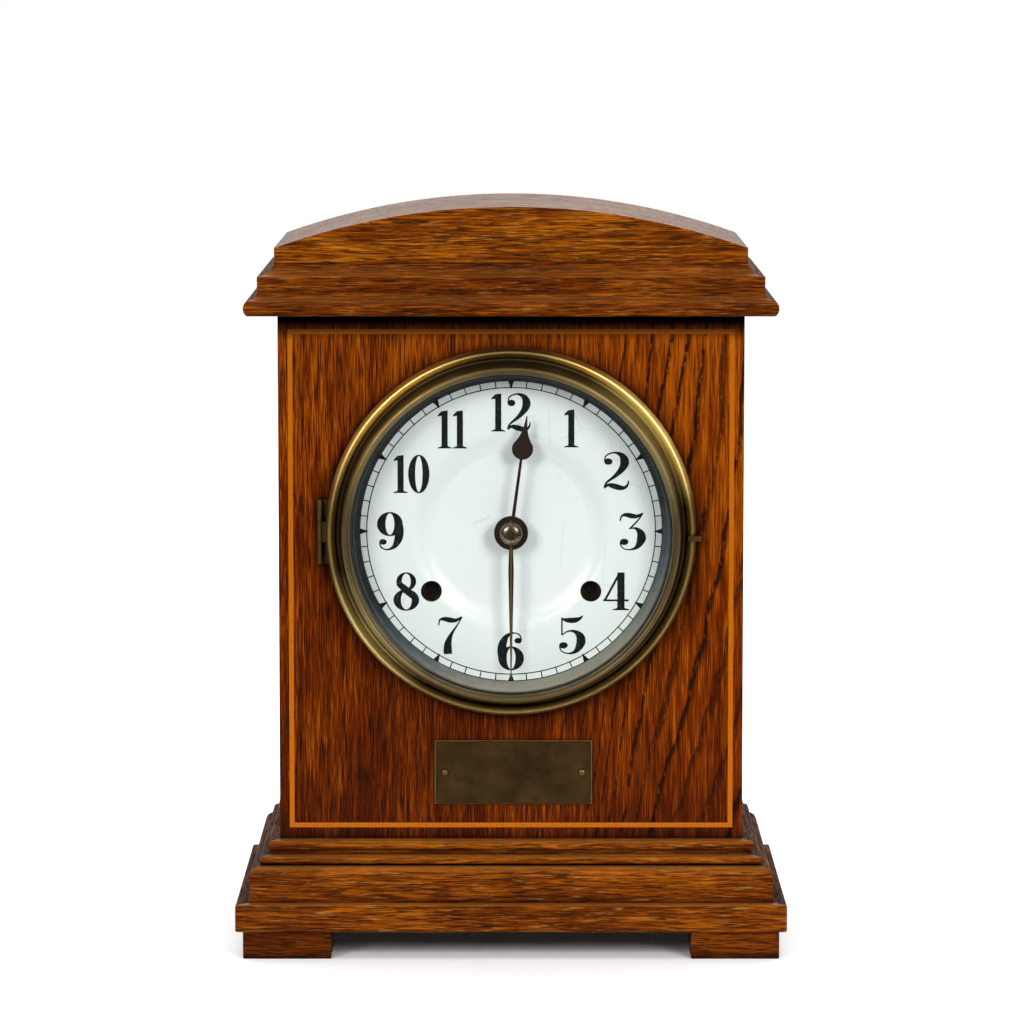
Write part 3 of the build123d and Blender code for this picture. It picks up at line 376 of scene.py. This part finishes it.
def sight_ring_material():
    """Silvered brass cone: painted shade makes it black at the top, painted light makes it pale at the bottom
    and lighter on the right.
    """
    g = Graph("sight_ring_silvered")
    x, _, z = g.split(g.place)
    stains = g.noise(g.place, 160.0, 4.0, 0.6)
    # painted shade and light: black towards the top, pale towards the bottom and lighter on the right, broken
    # up by stains
    drop = g.math("DIVIDE", g.math("SUBTRACT", dial_centre.z, z), bezel_high.x)
    reach = g.math("MULTIPLY", g.math("DIVIDE", x, bezel_high.x), 0.35)
    painted_light_and_stains = g.math("ADD", g.math("ADD", drop, reach),
                     g.math("MULTIPLY", g.math("SUBTRACT", stains, 0.5), 0.5))
    radius = g.math("SQRT", g.math("ADD", g.math("POWER", g.math("SUBTRACT", x, dial_centre.x), 2.0),
                                   g.math("POWER", g.math("SUBTRACT", z, dial_centre.z), 2.0)))
    turning = g.noise(g.join(g.math("MULTIPLY", radius, 2200.0), 0.0, 0.0), 1.0, 1.0)
    colour = g.ramp(painted_light_and_stains, (0.1, srgb(16, 17, 16)), (0.42, srgb(74, 82, 88)), (0.85, srgb(138, 136, 120)))
    colour = g.mix(g.ramp(turning, (0.5, 0.0), (0.6, 0.3)), colour, srgb(150, 158, 160))
    lip = g.math("MULTIPLY", g.math("SUBTRACT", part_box("sight_ring")[1].x, radius), 1000.0)
    colour = g.mix(g.ramp(lip, (0.3, 0.7), (0.75, 0.0)), colour, srgb(184, 186, 178))
    colour = g.mix(g.ramp(g.creases(0.003), (0.3, 0.0), (0.8, 1.0)), srgb(8, 8, 7), colour)
    g.set(Base_Color=colour, Roughness=0.5, Specular_IOR_Level=0.03)
    g.bump(turning, 0.2, 0.0001)
    return g.material


plate_brass = brass("movement_brass", srgb(212, 174, 96), srgb(150, 112, 54), srgb(40, 26, 10), 0.3, 0.3,
                    False)
paint(bezel_brass, "bezel_ring", "glass_retainer", "dial_pan")
paint(fitting_brass, "bezel_catch")
paint(sight_ring_material(), "sight_ring")
paint(fitting_brass, "door_hinge_leaves", "door_leaves", "door_turn_button")
paint(plate_brass, "movement_front_plate", "movement_back_plate", "time_great_wheel", "strike_great_wheel",
      "time_second_wheel", "centre_wheel", "third_wheel", "escape_wheel", "strike_pin_wheel", "strike_fly",
      "cannon_pinion", "minute_wheel", "hour_wheel", "pendulum_bob")


def steel(name, bright, dull, roughness):
    """Drawn or polished steel with faint stains and scratches."""
    g = Graph(name)
    stains = g.noise(g.place, 140.0, 4.0, 0.6)
    scratches = g.noise(g.place, 2400.0, 2.0, 0.7)
    g.set(Base_Color=g.mix(g.ramp(stains, (0.4, 0.0), (0.7, 1.0)), bright, dull), Metallic=1.0,
          Roughness=g.math("ADD", g.math("MULTIPLY", scratches, 0.15), roughness))
    g.bump(scratches, 0.12, 0.00005)
    return g.material


paint(steel("bright_steel", srgb(176, 174, 168), srgb(112, 106, 98), 0.2), "pan_screws", "plate_pillars",
      "movement_posts", "pallet_anchor", "pendulum_rod", "hammer")
# the winding arbors are near black: painted shade of the winding holes they sit in
paint(steel("arbor_steel_painted_shade", srgb(30, 28, 26), srgb(14, 13, 12), 0.35), "time_winding_arbor",
      "strike_winding_arbor")
paint(steel("spring_steel", srgb(70, 74, 90), srgb(34, 32, 34), 0.25), "mainsprings", "gong_coil")
paint(steel("cast_iron", srgb(52, 50, 48), srgb(30, 28, 27), 0.5), "gong_block")
paint(steel("nut_steel", srgb(132, 122, 106), srgb(84, 70, 54), 0.2), "hand_nut")


def hand_material(name, painted_middle_highlight):
    """Browned steel. The long hand has a painted highlight, a golden strip along its middle."""
    g = Graph(name)
    x = g.split(g.place)[0]
    wear = g.noise(g.place, 500.0, 3.0, 0.6)
    colour = g.mix(wear, srgb(34, 20, 13), srgb(62, 40, 26))
    if painted_middle_highlight:
        # painted highlight: a golden strip along the middle of the long hand
        near = g.ramp(g.math("MULTIPLY", g.math("ABSOLUTE", g.math("SUBTRACT", x, dial_centre.x)), 1000.0),
                      (0.1, 1.0), (0.55, 0.0))
        colour = g.mix(g.math("MULTIPLY", near, 0.6), colour, srgb(150, 112, 66))
    g.set(Base_Color=colour, Metallic=0.7, Roughness=0.42)
    g.bump(wear, 0.15, 0.00006)
    return g.material


paint(hand_material("hour_hand_steel", False), "hour_hand")
paint(hand_material("minute_hand_steel", True), "minute_hand")


def plaque_material():
    """Dark patinated brass with worn bright edges and shallow scratches, and no lettering."""
    g = Graph("plaque_patina")
    x, _, z = g.split(g.place)
    middle = (plaque_low + plaque_high) / 2
    half = (plaque_high - plaque_low) / 2
    from_x = g.math("SUBTRACT", half.x, g.math("ABSOLUTE", g.math("SUBTRACT", x, middle.x)))
    from_z = g.math("SUBTRACT", half.z, g.math("ABSOLUTE", g.math("SUBTRACT", z, middle.z)))
    edge = g.math("MULTIPLY", g.math("MINIMUM", from_x, from_z), 1000.0)
    clouds = g.noise(g.place, 90.0, 4.0, 0.65)
    scratches = g.noise(g.join(g.math("MULTIPLY", x, 300.0), 0.0, g.math("MULTIPLY", z, 1900.0)),
                        1.0, 3.0, 0.7)
    colour = g.mix(g.ramp(clouds, (0.35, 0.0), (0.7, 1.0)), srgb(50, 34, 10), srgb(70, 50, 17))
    colour = g.mix(g.math("MULTIPLY", g.ramp(scratches, (0.55, 0.0), (0.8, 1.0)), 0.35), colour,
                   srgb(92, 70, 36))
    wear_and_painted_light = g.math("MULTIPLY", g.ramp(g.math("ADD", edge, clouds), (0.9, 1.0), (1.0, 0.0)), 0.5)
    colour = g.mix(wear_and_painted_light, colour, srgb(176, 138, 76))
    g.set(Base_Color=colour, Metallic=0.85, Roughness=g.math("ADD", g.math("MULTIPLY", clouds, 0.25), 0.34))
    g.bump(g.math("ADD", scratches, clouds), 0.2, 0.0001)
    return g.material


paint(plaque_material(), "plaque")
paint(brass("plaque_pin_brass", srgb(120, 92, 48), srgb(66, 48, 24), srgb(20, 12, 6), 0.35, 0.7, False),
      "plaque_pins")


# ---- dial ----------------------------------------------------------------------------------------
def enamel_material():
    """White fired enamel: a cool, slightly mottled white with faint stains and fine crazing."""
    g = Graph("dial_enamel")
    x, _, z = g.split(g.place)
    mottle = g.noise(g.place, 28.0, 3.0)
    colour = g.mix(mottle, srgb(222, 234, 231), srgb(234, 241, 238))
    stain = g.ramp(g.noise(g.place, 55.0, 5.0, 0.7), (0.66, 0.0), (0.82, 1.0))
    colour = g.mix(g.math("MULTIPLY", stain, 0.35), colour, srgb(196, 190, 168))
    cells = g.tree.nodes.new("ShaderNodeTexVoronoi")
    cells.feature = "DISTANCE_TO_EDGE"
    g.put(cells.inputs["Vector"], g.place)
    cells.inputs["Scale"].default_value = 42.0
    crack = g.ramp(cells.outputs["Distance"], (0.0, 1.0), (0.012, 0.0))
    shown = g.ramp(g.noise(g.place, 30.0, 2.0), (0.56, 0.0), (0.64, 1.0))
    colour = g.mix(g.math("MULTIPLY", g.math("MULTIPLY", crack, shown), 0.22), colour, srgb(120, 122, 116))
    radius = g.math("SQRT", g.math("ADD", g.math("POWER", g.math("SUBTRACT", x, dial_centre.x), 2.0),
                                   g.math("POWER", g.math("SUBTRACT", z, dial_centre.z), 2.0)))
    shoulder = g.ramp(g.math("MULTIPLY", radius, 10.0), (0.34, 0.0), (0.39, 0.5), (0.44, 1.0))
    g.set(Base_Color=colour, Roughness=0.2, Specular_IOR_Level=0.4)
    g.bump(g.math("ADD", g.math("MULTIPLY", mottle, 0.03), shoulder), 0.8, 0.002)
    return g.material


paint(enamel_material(), "dial")


def glass_material():
    """Thin clear glazing with a faint dusty film."""
    g = Graph("bezel_glass")
    g.set(Base_Color=(0.02, 0.025, 0.025), Roughness=0.05, Alpha=0.05)
    wave = g.noise(g.place, 40.0, 2.0, 0.5)
    g.bump(wave, 0.02, 0.00005)
    return g.material


paint(glass_material(), "bezel_glass")


def ink_material():
    """Fired black enamel, worn a little thin in places."""
    g = Graph("dial_ink")
    worn = g.noise(g.place, 700.0, 4.0, 0.7)
    g.set(Base_Color=g.mix(g.ramp(worn, (0.5, 0.0), (0.85, 1.0)), srgb(14, 17, 18), srgb(60, 64, 64)),
          Roughness=0.22, Coat_Weight=0.3, Coat_Roughness=0.08)
    g.bump(worn, 0.1, 0.00003)
    return g.material


ink = ink_material()


# ---- dial marks ----------------------------------------------------------------------------------
def smooth_line(points):
    """Points of a Catmull-Rom curve through (x, y, half width) points."""
    steps = 10
    path = []
    padded = [points[0], *points, points[-1]]
    for p0, p1, p2, p3 in zip(padded, padded[1:], padded[2:], padded[3:]):
        for step in range(steps):
            t = step / steps
            path.append(tuple(
                0.5 * (2 * b + (c - a) * t + (2 * a - 5 * b + 4 * c - d) * t ** 2
                       + (3 * b - a - 3 * c + d) * t ** 3)
                for a, b, c, d in zip(p0, p1, p2, p3)))
    path.append(points[-1])
    return path


def stroke(*points):
    """Outline of a pen stroke whose width swells and thins along a smooth curve."""
    path = smooth_line(points)
    left, right = [], []
    for index, (x, y, half) in enumerate(path):
        before, after = path[max(index - 1, 0)], path[min(index + 1, len(path) - 1)]
        along = Vector((after[0] - before[0], after[1] - before[1])).normalized()
        left.append((x - along.y * half, y + along.x * half))
        right.append((x + along.y * half, y - along.x * half))
    return left + right[::-1]


def ball(x, y, radius):
    """Round terminal."""
    sides = 24
    return [(x + radius * math.cos(2 * math.pi * k / sides), y + radius * math.sin(2 * math.pi * k / sides))
            for k in range(sides)]


def bar(x0, y0, x1, y1):
    """Upright rectangle."""
    return [(x0, y0), (x1, y0), (x1, y1), (x0, y1)]


def serif(x, y, half, depth):
    """Bracketed foot or head of a stem: positive depth spreads downwards to y."""
    reach = half + 0.11
    return [(x - reach, y), (x + reach, y), (x + reach, y + 0.3 * depth), (x + half, y + depth),
            (x - half, y + depth), (x - reach, y + 0.3 * depth)]


# half widths of the pen's thin and thick lines, in heights of a digit
thin = 0.018
thick = 0.088


def oval(x, y, wide, high, heavy=thick):
    """Closed bowl, heavy at its sides and fine at its top and bottom, as a left and a right half."""
    steps = 16
    halves = []
    for side in (-1, 1):
        ring = []
        for k in range(steps + 1):
            angle = math.radians(-90 + 180 * k / steps)
            ring.append((x + side * wide * math.cos(angle), y + high * math.sin(angle)))
        for k in range(steps + 1):
            angle = math.radians(90 - 180 * k / steps)
            ring.append((x + side * (wide - heavy * 2) * math.cos(angle),
                         y + (high - thin * 2) * math.sin(angle)))
        halves.append(ring)
    return halves


def numeral_shapes():
    """Outlines of the ten digits, one unit high, each with its width."""
    digits = {}
    digits["0"] = (0.56, oval(0.28, 0.5, 0.27, 0.51))
    digits["1"] = (0.40, [bar(0.13, 0.02, 0.29, 0.98), serif(0.21, 0.0, 0.08, 0.06),
                          [(0.13, 0.98), (0.29, 1.0), (0.29, 0.93), (0.13, 0.86), (0.03, 0.84),
                           (0.03, 0.88)]])
    digits["2"] = (0.58, [
        ball(0.13, 0.75, 0.085),
        stroke((0.055, 0.76, 0.012), (0.09, 0.91, 0.016), (0.25, 0.985, 0.024), (0.40, 0.92, 0.06),
               (0.46, 0.76, thick), (0.42, 0.58, 0.075), (0.28, 0.38, 0.045), (0.10, 0.20, 0.022),
               (0.05, 0.06, 0.018)),
        stroke((0.05, 0.05, 0.016), (0.13, 0.13, 0.04), (0.24, 0.105, 0.07), (0.37, 0.06, 0.066),
               (0.47, 0.07, 0.04), (0.53, 0.16, 0.018), (0.535, 0.25, 0.012))])
    digits["3"] = (0.56, [
        stroke((0.04, 0.77, 0.012), (0.07, 0.90, 0.02), (0.16, 0.935, 0.052), (0.27, 0.905, 0.066),
               (0.38, 0.90, 0.045), (0.49, 0.985, 0.012)),
        stroke((0.49, 0.985, 0.014), (0.41, 0.82, 0.016), (0.30, 0.66, 0.018), (0.23, 0.575, 0.014)),
        ball(0.12, 0.22, 0.085),
        stroke((0.21, 0.565, 0.012), (0.34, 0.58, 0.03), (0.44, 0.47, 0.07), (0.46, 0.29, thick),
               (0.38, 0.09, 0.05), (0.24, 0.015, 0.02), (0.10, 0.05, 0.014), (0.035, 0.19, 0.012))])
    digits["4"] = (0.60, [
        bar(0.33, 0.02, 0.49, 1.0), serif(0.41, 0.0, 0.08, 0.06), bar(0.02, 0.235, 0.58, 0.285),
        [(0.02, 0.235), (0.075, 0.235), (0.40, 0.96), (0.40, 1.0), (0.36, 1.0)]])
    digits["5"] = (0.56, [
        stroke((0.08, 0.94, 0.012), (0.2, 0.90, 0.06), (0.34, 0.90, 0.07), (0.45, 0.955, 0.035),
               (0.50, 1.02, 0.01)),
        bar(0.075, 0.50, 0.105, 0.97), ball(0.12, 0.23, 0.085),
        stroke((0.09, 0.50, 0.012), (0.2, 0.60, 0.018), (0.34, 0.60, 0.04), (0.45, 0.48, 0.08),
               (0.46, 0.28, thick), (0.37, 0.08, 0.05), (0.23, 0.015, 0.02), (0.09, 0.07, 0.014),
               (0.04, 0.2, 0.012))])
    six = [*oval(0.29, 0.31, 0.26, 0.32, 0.085), ball(0.43, 0.78, 0.075),
           stroke((0.50, 0.80, 0.012), (0.46, 0.93, 0.016), (0.34, 0.985, 0.02), (0.20, 0.90, 0.05),
                  (0.12, 0.70, 0.082), (0.10, 0.48, thick), (0.12, 0.3, 0.084))]
    digits["6"] = (0.58, six)
    digits["7"] = (0.54, [
        stroke((0.03, 0.76, 0.012), (0.05, 0.90, 0.02), (0.14, 0.93, 0.055), (0.27, 0.90, 0.068),
               (0.38, 0.90, 0.045), (0.50, 0.99, 0.012)),
        stroke((0.50, 0.985, 0.014), (0.40, 0.76, 0.016), (0.28, 0.52, 0.035), (0.22, 0.30, 0.07),
               (0.21, 0.12, 0.085), (0.215, 0.0, 0.082))])
    digits["8"] = (0.56, [*oval(0.28, 0.76, 0.20, 0.245, 0.055), *oval(0.28, 0.27, 0.26, 0.285, 0.075),
                          stroke((0.12, 0.72, 0.06), (0.28, 0.53, 0.085), (0.45, 0.34, 0.07))])
    digits["9"] = (0.58, [[(0.58 - x, 1.0 - y) for x, y in reversed(shape)] for shape in six])
    return digits


def inside(point, outline):
    """Whether a point is inside a closed outline."""
    x, y = point
    odd = False
    for (x0, y0), (x1, y1) in zip(outline, outline[1:] + outline[:1]):
        if (y0 > y) != (y1 > y) and x < (x1 - x0) * (y - y0) / (y1 - y0) + x0:
            odd = not odd
    return odd


def flat_union(shapes):
    """One triangulated sheet covering overlapping outlines: (points, triangles)."""
    points, edges, reaches = [], [], []
    for shape in shapes:
        first = len(points)
        edges += [(first + k, first + (k + 1) % len(shape)) for k in range(len(shape))]
        points += [Vector(point) for point in shape]
        xs, ys = zip(*shape)
        reaches.append((min(xs), max(xs), min(ys), max(ys)))
    out = delaunay_2d_cdt(points, edges, [], 0, 1e-6)
    covered = []
    for face in out[2]:
        x, y = sum((out[0][index] for index in face), Vector((0, 0))) / len(face)
        if any(x0 < x < x1 and y0 < y < y1 and inside((x, y), shape)
               for shape, (x0, x1, y0, y1) in zip(shapes, reaches)):
            covered.append(list(face))
    return [tuple(point) for point in out[0]], covered


def plate_from(name, shapes, height, back, material):
    """Thin raised piece that rides on the case.

    The outlines are in millimetres from the dial's centre. height and back are how far its front and its back
    stand in front of the panel, in millimetres.
    """
    points, triangles = flat_union(shapes)
    mesh = bmesh.new()
    front = [mesh.verts.new((dial_centre.x + x * mm, panel_y - height * mm, dial_centre.z + y * mm))
             for x, y in points]
    used = set()
    for triangle in triangles:
        corners = [front[index] for index in triangle]
        if len(set(corners)) == 3 and frozenset(triangle) not in used:
            used.add(frozenset(triangle))
            mesh.faces.new(corners)
    bmesh.ops.delete(mesh, geom=[v for v in mesh.verts if not v.link_faces], context="VERTS")
    bmesh.ops.recalc_face_normals(mesh, faces=mesh.faces)
    for face in mesh.faces:
        if face.normal.y > 0:
            face.normal_flip()
    grown = bmesh.ops.extrude_face_region(mesh, geom=list(mesh.faces))
    bmesh.ops.translate(mesh, vec=(0, (height - back) * mm, 0),
                        verts=[item for item in grown["geom"] if isinstance(item, bmesh.types.BMVert)])
    bmesh.ops.recalc_face_normals(mesh, faces=mesh.faces)
    data = bpy.data.meshes.new(name)
    mesh.to_mesh(data)
    mesh.free()
    data.materials.append(material)
    piece = bpy.data.objects.new(name, data)
    bpy.context.collection.objects.link(piece)
    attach(piece, "case")


# printed marks, in millimetres; some hours stand a little further in than the others
numeral_radius = 52.8
numeral_height = 16.6
numeral_insets = {10: 2.6, 11: 1.3, 12: 0.8, 1: 0.8}
ink_height = 0.07
ink_back = -0.15
widening = {"2": 1.30, "3": 1.33, "4": 1.2, "5": 1.33, "6": 1.3, "7": 1.3, "8": 1.3, "9": 1.3, "0": 1.12}
digits = numeral_shapes()
for hour in range(1, 13):
    text = str(hour)
    gap = 0.0 if len(text) == 2 else 0.06
    squeeze = 0.92 if len(text) == 2 else 1.0
    stretch = [widening.get(digit, 1.0) * (squeeze if digit != "1" else 1.0) for digit in text]
    total = sum(digits[digit][0] * factor for digit, factor in zip(text, stretch)) + gap * (len(text) - 1)
    angle = math.radians(30 * hour)
    radius = numeral_radius - numeral_insets.get(hour, 0.0)
    cursor = radius * math.sin(angle) - total * numeral_height / 2
    base = radius * math.cos(angle) - numeral_height / 2
    shapes = []
    for digit, factor in zip(text, stretch):
        width, outlines = digits[digit]
        shapes += [[(cursor + x * factor * numeral_height, base + y * numeral_height) for x, y in outline]
                   for outline in outlines]
        cursor += (width * factor + gap) * numeral_height
    plate_from(f"numeral_{hour}", shapes, ink_height, ink_back, ink)


def polar(radius, degrees):
    """Point on the dial at a clock angle."""
    return (radius * math.sin(math.radians(degrees)), radius * math.cos(math.radians(degrees)))


def circle_line(radius, width):
    """A printed circle, as short curved tiles."""
    pieces = 60
    tiles = []
    for k in range(pieces):
        angles = [360 / pieces * (k + part / 4) for part in range(5)]
        tiles.append([polar(radius + width / 2, a) for a in angles]
                     + [polar(radius - width / 2, a) for a in reversed(angles)])
    return tiles


track_inner = 62.9
track_outer = 65.9
line_width = 0.44
spike_depth = 0.9
spike_half_angle = 1.15
track = circle_line(track_inner, line_width) + circle_line(track_outer, line_width)
for minute in range(60):
    degrees = 6 * minute
    side = math.degrees(line_width / 2 / track_inner)
    track.append([polar(track_inner, degrees - side), polar(track_inner, degrees + side),
                  polar(track_outer, degrees + side), polar(track_outer, degrees - side)])
    if minute % 5 == 0:
        track.append([polar(track_inner - spike_depth, degrees),
                      polar(track_outer, degrees + spike_half_angle),
                      polar(track_outer, degrees - spike_half_angle)])
plate_from("minute_track", track, ink_height, ink_back, ink)


# ---- floor, light and camera ---------------------------------------------------------------------
def floor_material():
    """Pale matt board."""
    g = Graph("studio_floor")
    grain = g.noise(g.place, 40.0, 3.0)
    g.set(Base_Color=g.mix(grain, (0.86, 0.86, 0.86), (0.9, 0.9, 0.9)), Roughness=0.7, Specular_IOR_Level=0.1)
    return g.material


floor_front = -0.3
floor_back = 3.2
floor_width = 5.0
bpy.ops.mesh.primitive_plane_add(size=1.0, location=(0, (floor_front + floor_back) / 2, cad_low.z))
floor = bpy.context.object
floor.name = "studio_floor"
floor.scale = (floor_width, floor_back - floor_front, 1.0)
floor.data.materials.append(floor_material())


clock_middle = Vector((0, 0, (cad_low.z + cad_high.z) / 2))


def softbox(name, place, size, power):
    """Large lamp that faces the middle of the clock."""
    lamp = bpy.data.lights.new(name, "AREA")
    lamp.shape = "RECTANGLE"
    lamp.size, lamp.size_y = size
    lamp.energy = power
    lamp_object = bpy.data.objects.new(name, lamp)
    bpy.context.collection.objects.link(lamp_object)
    lamp_object.location = place
    lamp_object.rotation_euler = (clock_middle - Vector(place)).to_track_quat("-Z", "Y").to_euler()


softbox("softbox_left", (-0.85, -1.45, 0.85), (0.6, 0.75), 19)
softbox("softbox_right", (0.85, -1.45, 0.85), (0.6, 0.75), 21.5)
softbox("softbox_back", (0, 1.6, 1.5), (2.4, 1.0), 20)

# the world is bright overhead and behind the clock and dim in front of it; the camera sees plain white
world = bpy.data.worlds.new("studio")
bpy.context.scene.world = world
world.use_nodes = True
tree = world.node_tree
background = tree.nodes["Background"]
background.inputs["Color"].default_value = (1, 1, 1, 1)
direction = tree.nodes.new("ShaderNodeSeparateXYZ")
tree.links.new(tree.nodes.new("ShaderNodeTexCoord").outputs["Generated"], direction.inputs[0])
behind = tree.nodes.new("ShaderNodeMath")
behind.operation = "MULTIPLY_ADD"
behind.inputs[1].default_value = 0.8
tree.links.new(direction.outputs["Y"], behind.inputs[0])
tree.links.new(direction.outputs["Z"], behind.inputs[2])
sky = tree.nodes.new("ShaderNodeMapRange")
sky.interpolation_type = "SMOOTHSTEP"
sky.inputs["From Min"].default_value = 0.2
sky.inputs["From Max"].default_value = 0.7
sky.inputs["To Min"].default_value = 0.06
sky.inputs["To Max"].default_value = 1.6
tree.links.new(behind.outputs[0], sky.inputs["Value"])
tree.links.new(sky.outputs["Result"], background.inputs["Strength"])
seen = tree.nodes.new("ShaderNodeBackground")
seen.inputs["Color"].default_value = (1, 1, 1, 1)
path = tree.nodes.new("ShaderNodeLightPath")
either = tree.nodes.new("ShaderNodeMixShader")
tree.links.new(path.outputs["Is Camera Ray"], either.inputs[0])
tree.links.new(background.outputs[0], either.inputs[1])
tree.links.new(seen.outputs[0], either.inputs[2])
tree.links.new(either.outputs[0], tree.nodes["World Output"].inputs["Surface"])

camera_data = bpy.data.cameras.new("camera")
camera = bpy.data.objects.new("camera", camera_data)
bpy.context.collection.objects.link(camera)
camera_data.sensor_width = 36.0
camera_data.lens = 162.58
camera_data.shift_y = -0.05
camera_distance = 2.0
camera_height = 0.4331
camera_side = 0.0004
pitch = math.radians(6.176)
camera.location = (camera_side, panel_y - camera_distance, camera_height)
camera.rotation_euler = (math.pi / 2 - pitch, 0, 0)
bpy.context.scene.camera = camera
bpy.context.scene.view_settings.view_transform = "Standard"
